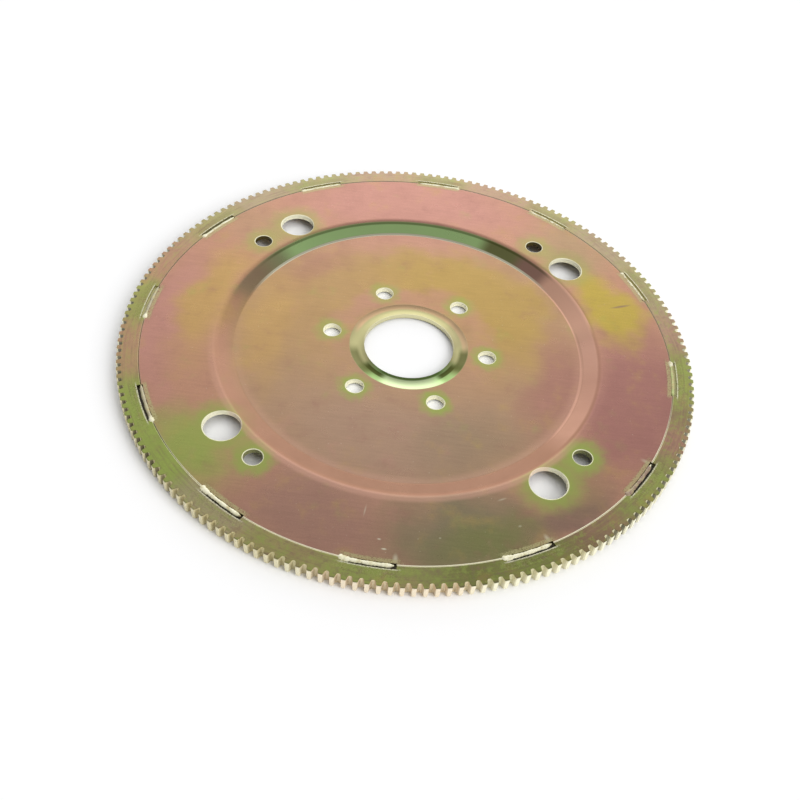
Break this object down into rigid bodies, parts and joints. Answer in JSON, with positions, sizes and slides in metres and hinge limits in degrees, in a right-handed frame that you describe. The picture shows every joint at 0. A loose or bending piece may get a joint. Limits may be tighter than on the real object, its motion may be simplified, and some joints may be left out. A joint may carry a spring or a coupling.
{
  "type": "flexplate",
  "caption": "Dished steel disc with a starter ring gear stitch-welded round its rim, joining a crankshaft to a torque converter.",
  "frame": {"origin": "on the turning axis, in the plane of the ring gear's underside", "axes": "+Z along the turning axis towards the recessed side, +X through a converter stud hole"},
  "size_m": [0.392, 0.392, 0.01],
  "materials": {
    "plated_disc": "satin",
    "plated_ring": "satin",
    "weld_bead": "satin"
  },
  "bodies": {
    "root": {"flex_disc": "plated_disc", "ring_gear": "plated_ring", "weld_bead_01": "weld_bead", "weld_bead_02": "weld_bead", "weld_bead_03": "weld_bead", "weld_bead_04": "weld_bead", "weld_bead_05": "weld_bead", "weld_bead_06": "weld_bead", "weld_bead_07": "weld_bead", "weld_bead_08": "weld_bead", "weld_bead_09": "weld_bead", "weld_bead_10": "weld_bead", "weld_bead_11": "weld_bead", "weld_bead_12": "weld_bead"}
  },
  "joints": []
}
